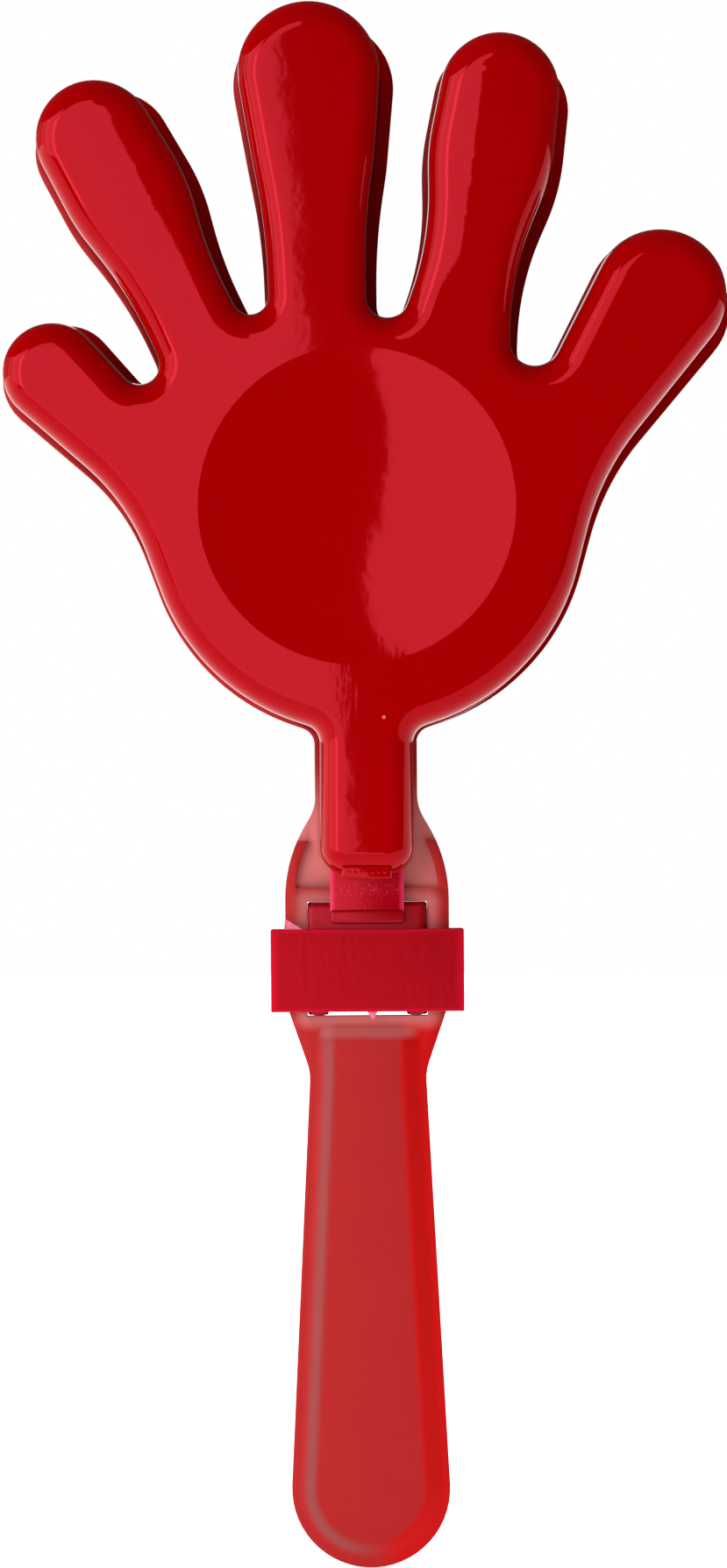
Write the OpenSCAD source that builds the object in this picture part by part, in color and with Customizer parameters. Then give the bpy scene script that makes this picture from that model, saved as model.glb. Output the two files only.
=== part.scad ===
// Hand clapper: a fixed centre hand on a grip, with a hollow hand hinged on each side of it.
// Upright, +Z along its length, the front hand towards -Y, the origin in the middle of the grip.

/* [Hand outline] */
// Radius of the round palm
palm_r = 38.8; // [36:0.1:41]
// Height of the palm's centre above the hinge axis
palm_up = 67.5; // [64:0.5:74]
// Half width of an outer hand's neck
neck_half = 8.4; // [7.5:0.1:8.8]
// Fillet between neck and palm
neck_fillet = 3.1; // [2:0.1:5]
// Corner radius at the neck's lower end
neck_corner = 5; // [4.8:0.1:6]
// Height of the neck's lower end above the hinge axis
neck_end_up = 3.4; // [3:0.1:5]
// Radius of the hollow under the little finger
little_hollow_r = 38; // [30:1:46]
// Direction of that hollow from the palm's centre, degrees clockwise from up
little_hollow_turn = -105.1; // [-109:0.1:-101]
// Radius of the hollow under the thumb
thumb_hollow_r = 46; // [38:1:54]
// Direction of that hollow from the palm's centre, degrees clockwise from up
thumb_hollow_turn = 99.5; // [96:0.1:104]

/* [Fingers, from the palm's centre] */
// Little finger tip, across
little_x = -55.3; // [-58:0.1:-52]
// Little finger tip, up
little_up = 25.3; // [22:0.1:28]
// Little finger tip radius
little_r = 8.8; // [8:0.1:10]
// Ring finger tip, across
ring_x = -47.5; // [-50:0.1:-44]
// Ring finger tip, up
ring_up = 66.3; // [60:0.1:70]
// Ring finger tip radius
ring_r = 10.4; // [9.8:0.1:11.2]
// Ring finger lean, degrees clockwise from up
ring_lean = -29.5; // [-32:0.5:-25]
// Half width of the ring finger at its belly
ring_belly = 10.7; // [10:0.1:11.4]
// Middle finger tip, across
middle_x = -9.8; // [-12:0.1:-7]
// Middle finger tip, up
middle_up = 77.8; // [70:0.1:84]
// Middle finger tip radius
middle_r = 12.6; // [11.8:0.1:13.2]
// Middle finger lean, degrees clockwise from up
middle_lean = -3; // [-6:0.5:0]
// Half width of the middle finger at its belly
middle_belly = 11.2; // [10.6:0.1:11.8]
// Index finger tip, across
index_x = 23.9; // [22:0.1:27]
// Index finger tip, up
index_up = 74.3; // [68:0.1:80]
// Index finger tip radius
index_r = 10.5; // [10:0.1:11.3]
// Index finger lean, degrees clockwise from up
index_lean = 8.5; // [6:0.5:13]
// Half width of the index finger at its belly
index_belly = 11; // [10.4:0.1:11.6]
// Thumb tip, across
thumb_x = 52.2; // [50:0.1:55]
// Thumb tip, up
thumb_up = 38.5; // [35:0.1:42]
// Thumb tip radius
thumb_r = 11.7; // [10.5:0.1:12.4]
// Distance from a long finger's tip centre back to its belly
belly_back = 9.5; // [8:0.5:11]
// Radius of the long curve on each side of a finger's belly
belly_curve_r = 38; // [30:1:46]
// Radius of the long hollows beside the ring finger
ring_hollow_r = 70; // [60:1:85]
// Radius of the long hollows beside the middle finger
middle_hollow_r = 108; // [90:1:130]
// Radius of the long hollows beside the index finger
index_hollow_r = 52; // [45:1:65]

/* [Webs between the fingers, from the palm's centre] */
// Web between little and ring finger, across
web_a_x = -39.9; // [-41:0.1:-38]
// Web between little and ring finger, up
web_a_up = 26.7; // [25:0.1:28.5]
// Web radius between little and ring finger
web_a_r = 3.5; // [3:0.1:4.2]
// Web between ring and middle finger, across
web_b_x = -20.3; // [-21.5:0.1:-19.5]
// Web between ring and middle finger, up
web_b_up = 38.7; // [37:0.1:42]
// Web radius between ring and middle finger
web_b_r = 3.2; // [2.8:0.1:3.8]
// Web between middle and index finger, across
web_c_x = 4; // [3.2:0.1:5]
// Web between middle and index finger, up
web_c_up = 38.5; // [36.5:0.1:40.5]
// Web radius between middle and index finger
web_c_r = 3.7; // [3.2:0.1:4.4]
// Web between index finger and thumb, across
web_d_x = 30.1; // [29:0.1:32]
// Web between index finger and thumb, up
web_d_up = 30.6; // [29:0.1:33]
// Web radius between index finger and thumb
web_d_r = 4.4; // [3.8:0.1:5.2]

/* [Outer hand shells] */
// Depth of a shell from rim to face
shell_depth = 8; // [7:0.1:10]
// Wall thickness of a shell
shell_wall = 1.5; // [1.2:0.1:1.8]
// Width of the lip round the rim
lip_w = 0.4; // [0.3:0.1:0.8]
// Height of the lip
lip_h = 1; // [0.6:0.1:1.6]
// How much the side leans in between lip and shoulder
side_draft = 0.3; // [0.1:0.1:0.6]
// Width of the rounded shoulder between side and face
shoulder_w = 4; // [3.2:0.1:4.2]
// Height of the rounded shoulder
shoulder_h = 4; // [3:0.1:5]

/* [Dish in the palm of the outer hands] */
// Flat left between the dish and the rounded shoulder where they are nearest
dish_land = 0.5; // [0.3:0.1:2]
// Place of the dish across, from the palm's centre
dish_x = -1.5; // [-2:0.1:2]
// Place of the dish up, from the palm's centre
dish_up = 1.8; // [-1:0.1:2]
// Depth of the dish in its middle
dish_depth = 0.9; // [0.5:0.1:1.2]

/* [Hinge] */
// Height of the hinge axis above the middle of the grip
hinge_up = 72; // [68:0.5:80]
// Distance of a hinge axis from the middle plane
hinge_out = 4.9; // [4.9:0.1:5.6]
// Width of the hinge strap
strap_w = 13.2; // [11:0.1:15]
// Thickness of the hinge strap
strap_t = 0.8; // [0.5:0.1:1]
// How far the strap reaches below the hinge axis
strap_down = 2.8; // [2.4:0.1:3.2]
// How far the front hand stands open at rest, in degrees
front_open = 5.5; // [3:0.5:9]
// How far the rear hand stands open at rest, in degrees
rear_open = 2; // [1:0.5:9]
// How far the front hand sits askew, in degrees clockwise seen from the front
front_askew = 0.2; // [-1:0.1:1]
// How far the rear hand sits askew, in degrees clockwise seen from the front
rear_askew = 1.2; // [-2:0.1:2]
// Gap left between the closed hands
clap_gap = 0.3; // [0.2:0.1:0.6]

/* [Centre hand] */
// How much lower the centre hand sits than the outer hands
centre_drop = 0.6; // [0:0.1:3]
// How far the centre hand leans, in degrees clockwise seen from the front
centre_lean = -0.2; // [-1:0.1:1]
// Half thickness of the bead round the centre hand
bead_half = 2; // [1.8:0.1:2.2]
// Width of that bead
bead_w = 1.3; // [1:0.1:2]
// Half thickness of the web inside the bead
web_half = 0.9; // [0.7:0.1:1.2]

/* [Handle] */
// Half width of the handle's neck
handle_neck_half = 9.1; // [8.9:0.1:9.6]
// Half width of the frame round the window
frame_half = 14.6; // [14.4:0.1:15.6]
// Half thickness of the frame
frame_t_half = 2.8; // [2.6:0.1:3]
// Radius of the frame's upper shoulder
frame_shoulder_r = 26; // [22:1:28]
// Fillet between shoulder and neck
frame_neck_fillet = 8; // [6:0.5:10]
// Radius of the frame's lower corners
frame_corner_r = 5; // [3:0.5:7]
// Half width of the grip at its waist
waist_half = 10.4; // [9.5:0.1:11.4]
// Height of the waist below the hinge axis
waist_down = 33; // [31:0.5:36]
// Radius of the fillet above the waist
waist_fillet = 9; // [7:0.5:11]
// Radius of the grip's round end
grip_end_r = 14.1; // [13:0.1:14.5]
// Height of the centre of that round end below the hinge axis
grip_end_down = 106; // [95:1:120]
// How far the grip's face stands in front of the middle plane
grip_face_out = 4; // [3.6:0.1:4]
// How far the foot of the slope round the grip's face lies in from the grip's edge
grip_face_in = 0.8; // [0.6:0.1:1.2]
// Width of the soft slope round the grip's face
grip_slope = 3.6; // [2.4:0.1:4]
// Wall of the grip where its back is cored out
grip_wall = 1.8; // [1.7:0.1:2.2]
// Number of cross ribs in the cored back
grip_ribs = 5; // [3:1:7]
// Width of the border round the pocket under the hand's neck
pocket_border = 1.8; // [1.4:0.1:2.2]
// Half thickness of the plate in the pocket
pocket_half = 1.8; // [1.5:0.1:2]
// Height of the pocket's lower edge above the hinge axis
pocket_low = 1.1; // [0.6:0.1:2]
// Height of the end of the pocket's border above the hinge axis
border_top = 9.5; // [7:0.5:10]
// Thickness of a cross rib in the grip's back
rib_t = 1.4; // [1:0.1:2]
// How far the cross ribs stay below the grip's back edge
rib_sunk = 0.6; // [0.3:0.1:1]

/* [Window, anchors and collar] */
// Width of the window
window_w = 21.5; // [20:0.1:22]
// Height of the window
window_h = 20.4; // [19:0.1:21]
// Height of the window's top below the hinge axis
window_down = 1.4; // [1.2:0.1:1.6]
// Clearance round an anchor foot in the window
anchor_clear = 0.15; // [0.1:0.05:0.3]
// Corner radius of an anchor foot
anchor_corner = 2; // [1:0.1:3]
// Width of the notch between the two legs of an anchor foot
notch_w = 14; // [10:0.5:15]
// Height of that notch
notch_h = 8; // [5:0.5:10]
// Height of the bar across an anchor foot
anchor_bar_h = 2.5; // [2:0.1:2.9]
// How far that bar stands out from the foot
anchor_bar_out = 1.6; // [1.3:0.1:1.8]
// Height of the collar
collar_h = 14.7; // [12:0.1:15]
// Gap between the anchor bars and the collar
collar_gap = 1; // [0.5:0.1:1.5]
// Thickness of the collar's front and back walls
collar_face_wall = 1.8; // [1.4:0.1:2.4]
// Thickness of the collar's side walls
collar_side_wall = 2.2; // [1.8:0.1:2.8]
// Clearance between the collar and the feet
collar_clear = 0.1; // [0.1:0.05:0.2]
// Clearance between the collar and the frame's sides
collar_side_clear = 0.4; // [0.2:0.1:0.6]

/* [Hidden] */
$fn = 48;
shell_arc_step = 20;
shell_chord = 3;
edge_arc_step = 10;
edge_chord = 1.6;
shoulder_steps = 4;
slope_steps = 8;
dish_rings = 3;
dish_sides = 40;
quarter_turn = 90;
full_turn = 4 * quarter_turn;
turn_play = 60;
cut = 1;
hollow_play = 0.3;
tangent_play = 0.05;
overlap = 0.4;

side_in = lip_w + side_draft;
dish_by_palm = palm_r - norm([dish_x, dish_up]);
dish_by_web = norm([web_c_x - dish_x, web_c_up - dish_up]) - web_c_r;
dish_r = min(dish_by_palm, dish_by_web) - side_in - shoulder_w - dish_land;
rim_back = hinge_out - bead_half - clap_gap;
face_front = rim_back - shell_depth;
anchor_face = grip_face_out;
anchor_w = window_w - 2 * anchor_clear;
anchor_h = window_h - 2 * anchor_clear;
anchor_top = -window_down - anchor_clear;
bar_bottom = -strap_down - anchor_bar_h;
collar_top = bar_bottom - collar_gap;
collar_in_x = frame_half + collar_side_clear;
collar_in_y = anchor_face + collar_clear;
strap_play = 0.05;
frame_bottom = -window_down - window_h;
core_margin = 2.4;
core_in = grip_face_in + core_margin;
grip_rise = grip_face_out - frame_t_half;
grip_floor = grip_wall - grip_rise;
rib_first = frame_bottom - grip_wall;
rib_pitch = (rib_first + grip_end_down + grip_end_r - core_in) / grip_ribs;
far = 2 * grip_end_down;

// A belt runs round pulleys [x, up, r]. A positive r bulges out and a negative r is a hollow.
function leave_turn(a, b) =
    let (d = [b.x - a.x, b.y - a.y])
    atan2(d.y, d.x) - acos((a.z - b.z) / norm(d));
function bulge_turn(t) = max(0, t - full_turn * floor((t + turn_play) / full_turn));
function hollow_turn(t) = min(0, t - full_turn * ceil((t - turn_play) / full_turn));
function belt(pulleys, inset = 0, arc_step = shell_arc_step, chord = shell_chord) =
    let (n = len(pulleys))
    [for (i = [0 : n - 1])
        let (
            p = pulleys[i],
            start = leave_turn(pulleys[(i + n - 1) % n], p),
            turn = leave_turn(p, pulleys[(i + 1) % n]) - start,
            arc = p.z > 0 ? bulge_turn(turn) : hollow_turn(turn),
            steps = max(ceil(abs(arc) / arc_step), ceil(abs(arc / full_turn * 2 * PI * p.z) / chord))
        )
        for (k = [0 : steps])
            let (t = start + (steps == 0 ? 0 : arc * k / steps))
            [p.x + (p.z - inset) * cos(t), p.y + (p.z - inset) * sin(t)]];
function mirrored(pulleys) =
    [for (i = [len(pulleys) - 1 : -1 : 0]) [-pulleys[i].x, pulleys[i].y, pulleys[i].z]];

// Pulleys of the hand outline, seen from the front, anticlockwise from the neck's lower left corner.
function compass(turn, d) = [d * sin(turn), d * cos(turn)];
function from_palm(x, up, r) = [x, palm_up + up, r];
function meet(a, a_away, b, b_away, side) =
    let (
        d = [b.x - a.x, b.y - a.y],
        along = (pow(a_away, 2) - pow(b_away, 2) + pow(norm(d), 2)) / (2 * norm(d)),
        aside = side * sqrt(pow(a_away, 2) - pow(along, 2))
    )
    [a.x + (d.x * along - d.y * aside) / norm(d), a.y + (d.y * along + d.x * aside) / norm(d)];
function finger_hollow(web, belly, r, side) =
    let (c = meet(web, r + web.z + tangent_play, belly, r + belly.z + tangent_play, side))
    [c.x, c.y, -r];
function finger(x, up, r, lean, belly, hollow_r, right_web, left_web) =
    let (
        back = compass(lean, belly_back),
        aside = compass(lean + quarter_turn, belly_curve_r - belly),
        right = from_palm(x - back.x - aside.x, up - back.y - aside.y, belly_curve_r),
        left = from_palm(x - back.x + aside.x, up - back.y + aside.y, belly_curve_r)
    )
    [right_web, finger_hollow(right_web, right, hollow_r, -1), right, from_palm(x, up, r),
     left, finger_hollow(left_web, left, hollow_r, 1)];
function palm_hollow(turn, r) =
    let (c = compass(turn, palm_r + r + hollow_play))
    from_palm(c.x, c.y, -r);
function hand_pulleys(half) =
    let (
        fillet_drop = sqrt(pow(palm_r + neck_fillet, 2) - pow(half + neck_fillet, 2)) + tangent_play,
        corner_up = neck_end_up + neck_corner,
        palm = from_palm(0, 0, palm_r),
        web_a = from_palm(web_a_x, web_a_up, -web_a_r),
        web_b = from_palm(web_b_x, web_b_up, -web_b_r),
        web_c = from_palm(web_c_x, web_c_up, -web_c_r),
        web_d = from_palm(web_d_x, web_d_up, -web_d_r)
    )
    concat(
        [[-half + neck_corner, corner_up, neck_corner], [half - neck_corner, corner_up, neck_corner]],
        [from_palm(half + neck_fillet, -fillet_drop, -neck_fillet), palm],
        [palm_hollow(thumb_hollow_turn, thumb_hollow_r), from_palm(thumb_x, thumb_up, thumb_r)],
        finger(index_x, index_up, index_r, index_lean, index_belly, index_hollow_r, web_d, web_c),
        finger(middle_x, middle_up, middle_r, middle_lean, middle_belly, middle_hollow_r, web_c, web_b),
        finger(ring_x, ring_up, ring_r, ring_lean, ring_belly, ring_hollow_r, web_b, web_a),
        [web_a, from_palm(little_x, little_up, little_r), palm_hollow(little_hollow_turn, little_hollow_r)],
        [palm, from_palm(-half - neck_fillet, -fillet_drop, -neck_fillet)]);

// Pulleys of the handle outline: round grip end, waist, frame and neck.
neck_in_palm = 6;
neck_top_up = palm_up - centre_drop - palm_r + neck_in_palm;
neck_top_corner = 1;
shoulder_x = frame_half - frame_shoulder_r;
shoulder_z = -1;
neck_fillet_x = handle_neck_half + frame_neck_fillet;
neck_fillet_z = shoulder_z + tangent_play
    + sqrt(pow(frame_shoulder_r + frame_neck_fillet, 2) - pow(neck_fillet_x - shoulder_x, 2));
frame_corner_up = 3.3;
frame_corner_z = frame_bottom + frame_corner_up;
grip_side = [
    [waist_half + waist_fillet, -waist_down, -waist_fillet],
    [frame_half - frame_corner_r, frame_corner_z, frame_corner_r]];
handle_side = concat(grip_side, [
    [shoulder_x, shoulder_z, frame_shoulder_r],
    [neck_fillet_x, neck_fillet_z, -frame_neck_fillet],
    [handle_neck_half - neck_top_corner, neck_top_up, neck_top_corner]]);
handle_pulleys = concat([[0, -grip_end_down, grip_end_r]], handle_side, mirrored(handle_side));

// Pulleys of the foot of the grip's raised face, which ends just under the window.
face_top_gap = 1;
face_top = frame_bottom - face_top_gap;
face_corner_more = 0.6;
face_corner_r = grip_slope + face_corner_more;
face_side = [
    [waist_half + waist_fillet, -waist_down, -waist_fillet - grip_face_in],
    [waist_half - grip_face_in - face_corner_r, face_top - face_corner_r, face_corner_r]];
face_pulleys = concat([[0, -grip_end_down, grip_end_r - grip_face_in]], face_side, mirrored(face_side));

// A sheet of an outline standing upright between two depths.
module upright(front, back) {
    translate([0, back, 0]) rotate([90, 0, 0]) linear_extrude(back - front) children();
}

// Cuts a flat anticlockwise outline into triangles, one corner at a time.
function side_of(a, b, p) = (b.x - a.x) * (p.y - a.y) - (b.y - a.y) * (p.x - a.x);
function holds(a, b, c, p) =
    p != a && p != b && p != c && side_of(a, b, p) >= 0 && side_of(b, c, p) >= 0 && side_of(c, a, p) >= 0;
function corner(ring, k) = [for (step = [-1 : 1]) ring[(k + step + len(ring)) % len(ring)]];
function is_free(outline, ring, k) =
    let (t = [for (i = corner(ring, k)) outline[i]])
    side_of(t[0], t[1], t[2]) > 0 && len([for (i = ring) if (holds(t[0], t[1], t[2], outline[i])) i]) == 0;
function free_corner(outline, ring, k = 0) =
    k >= len(ring) - 1 || is_free(outline, ring, k) ? k : free_corner(outline, ring, k + 1);
function triangles(outline, ring, done = []) =
    len(ring) < 3 ? done :
    let (k = free_corner(outline, ring))
    triangles(outline, [for (i = [0 : len(ring) - 1]) if (i != k) ring[i]], concat(done, [corner(ring, k)]));

// A solid lofted through insets of one outline, from the back ring to the front ring.
function loft_points(pulleys, rings) =
    [for (ring = rings) for (p = belt(pulleys, ring.x)) [p.x, ring.y, p.y]];
function loft_sides(n, rings) =
    [for (k = [0 : len(rings) - 2]) for (i = [0 : n - 1])
        let (j = (i + 1) % n, a = k * n, b = a + n)
        each [[b + i, b + j, a + j], [b + i, a + j, a + i]]];
function flipped(faces) = [for (t = faces) [t[2], t[1], t[0]]];
function count(n) = [for (i = [0 : n - 1]) i];

module loft(pulleys, rings) {
    n = len(belt(pulleys));
    last = len(rings) - 1;
    back = triangles(belt(pulleys, rings[0].x), count(n));
    front = [for (t = triangles(belt(pulleys, rings[last].x), count(n))) t + last * n * [1, 1, 1]];
    faces = concat(back, loft_sides(n, rings), flipped(front));
    polyhedron(loft_points(pulleys, rings), faces, convexity = 10);
}

// The dish is a shallow bowl of rings, each lower than the last, round a middle point.
function dish_point(share, turn, level) =
    [dish_x + dish_r * share * cos(turn), level + dish_depth * (1 - share * share),
     palm_up + dish_up + dish_r * share * sin(turn)];
function dish_points(level) = concat(
    [for (k = [0 : dish_rings - 1]) for (i = [0 : dish_sides - 1])
        dish_point(1 - k / dish_rings, full_turn * i / dish_sides, level)],
    [dish_point(0, 0, level)]);
function dish_faces(base) = concat(
    [for (k = [0 : dish_rings - 2]) for (i = [0 : dish_sides - 1])
        let (j = (i + 1) % dish_sides, a = base + k * dish_sides, b = a + dish_sides)
        each [[b + i, a + j, a + i], [b + i, b + j, a + j]]],
    [for (i = [0 : dish_sides - 1])
        let (j = (i + 1) % dish_sides, a = base + (dish_rings - 1) * dish_sides)
        [base + dish_rings * dish_sides, a + j, a + i]]);

// The flat face round the dish is cut open along one line, from the outline to the dish's lowest point.
function face_triangles(outline, outline_base, dish_base) =
    let (
        n = len(outline),
        lowest = 3 * dish_sides / 4,
        edge = [for (i = [0 : dish_sides - 1])
            let (p = dish_point(1, full_turn * i / dish_sides, 0))
            [p.x, p.z]],
        round = [for (k = [0 : dish_sides]) n + (lowest - k + dish_sides) % dish_sides]
    )
    [for (t = triangles(concat(outline, edge), concat(count(n), [0], round)))
        [for (i = t) i < n ? outline_base + i : dish_base + i - n]];

module dished_loft(pulleys, rings) {
    n = len(belt(pulleys));
    last = len(rings) - 1;
    back_base = len(rings) * n;
    front_base = back_base + dish_rings * dish_sides + 1;
    back = concat(face_triangles(belt(pulleys, rings[0].x), 0, back_base), flipped(dish_faces(back_base)));
    front = concat(
        flipped(face_triangles(belt(pulleys, rings[last].x), last * n, front_base)), dish_faces(front_base));
    points = concat(loft_points(pulleys, rings), dish_points(rings[0].y), dish_points(rings[last].y));
    polyhedron(points, concat(back, loft_sides(n, rings), front), convexity = 10);
}

// The hand shell lies about its hinge axis, face towards -Y and open at the back.
function shoulder(inset, start, w, h) =
    [for (k = [0 : shoulder_steps])
        let (t = quarter_turn * k / shoulder_steps)
        [inset + w * (1 - cos(t)), start - h * sin(t)]];

module hand_shell() {
    hollow_in = side_in + shell_wall;
    hollow_w = shoulder_w - shell_wall;
    hollow_h = shoulder_h - shell_wall / 2;
    inside = shoulder(hollow_in, face_front + shell_wall + hollow_h, hollow_w, hollow_h);
    from_ceiling = [for (k = [len(inside) - 1 : -1 : 0]) inside[k]];
    lip = [[hollow_in, rim_back], [0, rim_back], [0, rim_back - lip_h], [lip_w, rim_back - lip_h]];
    outside = shoulder(side_in, face_front + shoulder_h, shoulder_w, shoulder_h);
    dished_loft(hand_pulleys(neck_half), concat(from_ceiling, lip, outside));
}

// Puts a piece that lies about its hinge axis where the front hinge is, or the rear one.
module at_front_hinge() {
    translate([0, -hinge_out, hinge_up]) children();
}
module at_rear_hinge() {
    mirror([0, 1, 0]) at_front_hinge() children();
}

// The strap bends by the rest angle at the hinge axis, so both its ends meet their bars squarely.
module hinge_strap(open) {
    half = strap_t / 2;
    top = neck_end_up - strap_play;
    bend = half * tan(open / 2);
    low = [[-half, -strap_down], [half, -strap_down]];
    high = [for (p = [[half, top], [-half, top]])
        [p.x * cos(open) - p.y * sin(open), p.x * sin(open) + p.y * cos(open)]];
    outline = concat(low, [[half, bend]], high, [[-half, -bend]]);
    translate([-strap_w / 2, 0, 0]) rotate([90, 0, 90]) linear_extrude(strap_w) polygon(outline);
}

module rounded_rectangle(w, h, r) {
    square([w - 2 * r, h], center = true);
    square([w, h - 2 * r], center = true);
    for (x = [-1, 1], y = [-1, 1]) translate([x * (w / 2 - r), y * (h / 2 - r)]) circle(r);
}

module anchor() {
    back = hinge_out - anchor_clear;
    front = hinge_out - anchor_face;
    difference() {
        upright(front, back)
            translate([0, anchor_top - anchor_h / 2]) rounded_rectangle(anchor_w, anchor_h, anchor_corner);
        translate([-notch_w / 2, front - cut, anchor_top - anchor_h - cut])
            cube([notch_w, back - front + 2 * cut, notch_h + cut]);
    }
    translate([-strap_w / 2, front - anchor_bar_out, bar_bottom])
        cube([strap_w, anchor_bar_out + overlap, anchor_bar_h]);
}

module front_hand() {
    color("crimson") at_front_hinge() rotate([front_open, 0, 0]) rotate([0, front_askew, 0]) hand_shell();
}
module rear_hand() {
    color("firebrick") at_rear_hinge() rotate([rear_open, 0, 0]) rotate([0, rear_askew, 0]) hand_shell();
}
module front_hinge_strap() {
    color("deeppink") at_front_hinge() hinge_strap(front_open);
}
module rear_hinge_strap() {
    color("deeppink") at_rear_hinge() hinge_strap(rear_open);
}
module front_anchor() {
    color("darkred") at_front_hinge() anchor();
}
module rear_anchor() {
    color("maroon") at_rear_hinge() anchor();
}

module collar() {
    out_x = collar_in_x + collar_side_wall;
    out_y = collar_in_y + collar_face_wall;
    color("indianred") translate([0, 0, hinge_up + collar_top - collar_h])
        linear_extrude(collar_h) difference() {
            square([2 * out_x, 2 * out_y], center = true);
            square([2 * collar_in_x, 2 * collar_in_y], center = true);
        }
}

module handle_outline(inset = 0) {
    polygon(belt(handle_pulleys, inset, edge_arc_step, edge_chord));
}
module centre_hand_outline(inset = 0) {
    translate([0, -centre_drop]) rotate(-centre_lean)
        polygon(belt(hand_pulleys(handle_neck_half), inset, edge_arc_step, edge_chord));
}
module below(level) {
    intersection() {
        children();
        translate([-far / 2, level - far]) square(far);
    }
}
module window_hole() {
    translate([-window_w / 2, frame_bottom]) square([window_w, window_h]);
}

// The centre hand is a thin web inside a bead, so that it stays flat when it is moulded.
module centre_hand() {
    upright(-web_half, web_half) centre_hand_outline();
    upright(-bead_half, bead_half) difference() {
        centre_hand_outline();
        centre_hand_outline(bead_w);
    }
}

// The frame is thick round the window, and has a pocket above it where the outer hands' necks lie.
module frame_and_neck() {
    upright(-pocket_half, pocket_half) difference() {
        handle_outline();
        below(frame_bottom) handle_outline();
        window_hole();
    }
    upright(-frame_t_half, frame_t_half) difference() {
        below(border_top) handle_outline();
        pocket();
        window_hole();
        core();
    }
}
module pocket() {
    difference() {
        handle_outline(pocket_border);
        below(pocket_low) handle_outline();
    }
}
module core() {
    below(frame_bottom - grip_wall) handle_outline(core_in);
}

// The grip has a raised face with a soft slope round it, and is cored out behind, with cross ribs.
module grip() {
    rings = [for (k = [0 : slope_steps])
        let (share = k / slope_steps)
        [grip_slope * share, -frame_t_half - grip_rise * pow(sin(quarter_turn * share), 2)]];
    loft(face_pulleys, concat([[0, -frame_t_half + grip_floor]], rings));
    upright(-frame_t_half, -frame_t_half + grip_floor) core();
    upright(-frame_t_half, frame_t_half - rib_sunk) intersection() {
        core();
        for (k = [1 : grip_ribs])
            translate([-frame_half, rib_first - (k - 0.5) * rib_pitch - rib_t / 2])
                square([2 * frame_half, rib_t]);
    }
}

module handle() {
    color("tomato") translate([0, 0, hinge_up]) {
        centre_hand();
        frame_and_neck();
        grip();
    }
}

handle();
collar();
front_hand();
front_hinge_strap();
front_anchor();
rear_hand();
rear_hinge_strap();
rear_anchor();
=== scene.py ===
from math import acos, atan2, ceil, cos, floor, hypot, pi, radians, sin, sqrt

import bmesh
import bpy
from mathutils import Matrix, Vector


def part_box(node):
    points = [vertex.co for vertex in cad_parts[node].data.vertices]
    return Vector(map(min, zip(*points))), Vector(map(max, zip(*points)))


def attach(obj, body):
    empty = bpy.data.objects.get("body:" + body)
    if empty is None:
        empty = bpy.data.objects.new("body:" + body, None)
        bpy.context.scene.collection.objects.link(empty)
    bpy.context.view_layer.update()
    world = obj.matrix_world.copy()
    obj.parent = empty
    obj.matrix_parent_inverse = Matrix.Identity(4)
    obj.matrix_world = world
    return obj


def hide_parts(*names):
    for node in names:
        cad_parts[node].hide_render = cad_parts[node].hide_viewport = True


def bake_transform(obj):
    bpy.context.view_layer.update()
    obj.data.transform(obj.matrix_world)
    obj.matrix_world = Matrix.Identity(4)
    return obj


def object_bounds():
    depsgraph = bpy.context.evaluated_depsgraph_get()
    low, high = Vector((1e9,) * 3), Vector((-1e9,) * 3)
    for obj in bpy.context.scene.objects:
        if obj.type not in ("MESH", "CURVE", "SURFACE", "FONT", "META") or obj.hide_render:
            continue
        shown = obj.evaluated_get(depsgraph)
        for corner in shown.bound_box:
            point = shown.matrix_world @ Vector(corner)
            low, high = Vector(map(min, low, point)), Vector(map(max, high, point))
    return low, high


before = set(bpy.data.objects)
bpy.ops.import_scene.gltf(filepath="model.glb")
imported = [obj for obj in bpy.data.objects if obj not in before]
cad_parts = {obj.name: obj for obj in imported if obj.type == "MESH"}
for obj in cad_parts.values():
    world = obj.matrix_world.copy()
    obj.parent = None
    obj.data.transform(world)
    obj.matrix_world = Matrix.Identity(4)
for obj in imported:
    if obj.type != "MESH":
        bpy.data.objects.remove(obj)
cad_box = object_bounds()
mm = 0.001

# Handle: the moulding that the hand holds, with the frame round the window and the centre hand on top.
# It is semi-crystalline plastic, moulded in one shot, and the only piece that the others are fixed to.
# The shape is the solid's own, with the small edge rounds that the mould leaves.
handle_edge_r = 0.28 * mm
handle_corner_turn = radians(35)
flat_turn = radians(0.5)
doubles_within = 0.002 * mm


def round_off(bm, geom, r, segments, affect="EDGES", clamp=False):
    bmesh.ops.bevel(bm, geom=geom, offset=r, segments=segments, profile=0.5, affect=affect, material=-1,
                    clamp_overlap=clamp)


handle_bm = bmesh.new()
handle_bm.from_mesh(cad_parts["handle"].data)
bmesh.ops.remove_doubles(handle_bm, verts=handle_bm.verts, dist=doubles_within)
bmesh.ops.dissolve_limit(handle_bm, angle_limit=flat_turn, verts=handle_bm.verts, edges=handle_bm.edges)
handle_corners = [e for e in handle_bm.edges if e.is_manifold and e.calc_face_angle() > handle_corner_turn]
round_off(handle_bm, handle_corners, handle_edge_r, 2, clamp=True)


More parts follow.
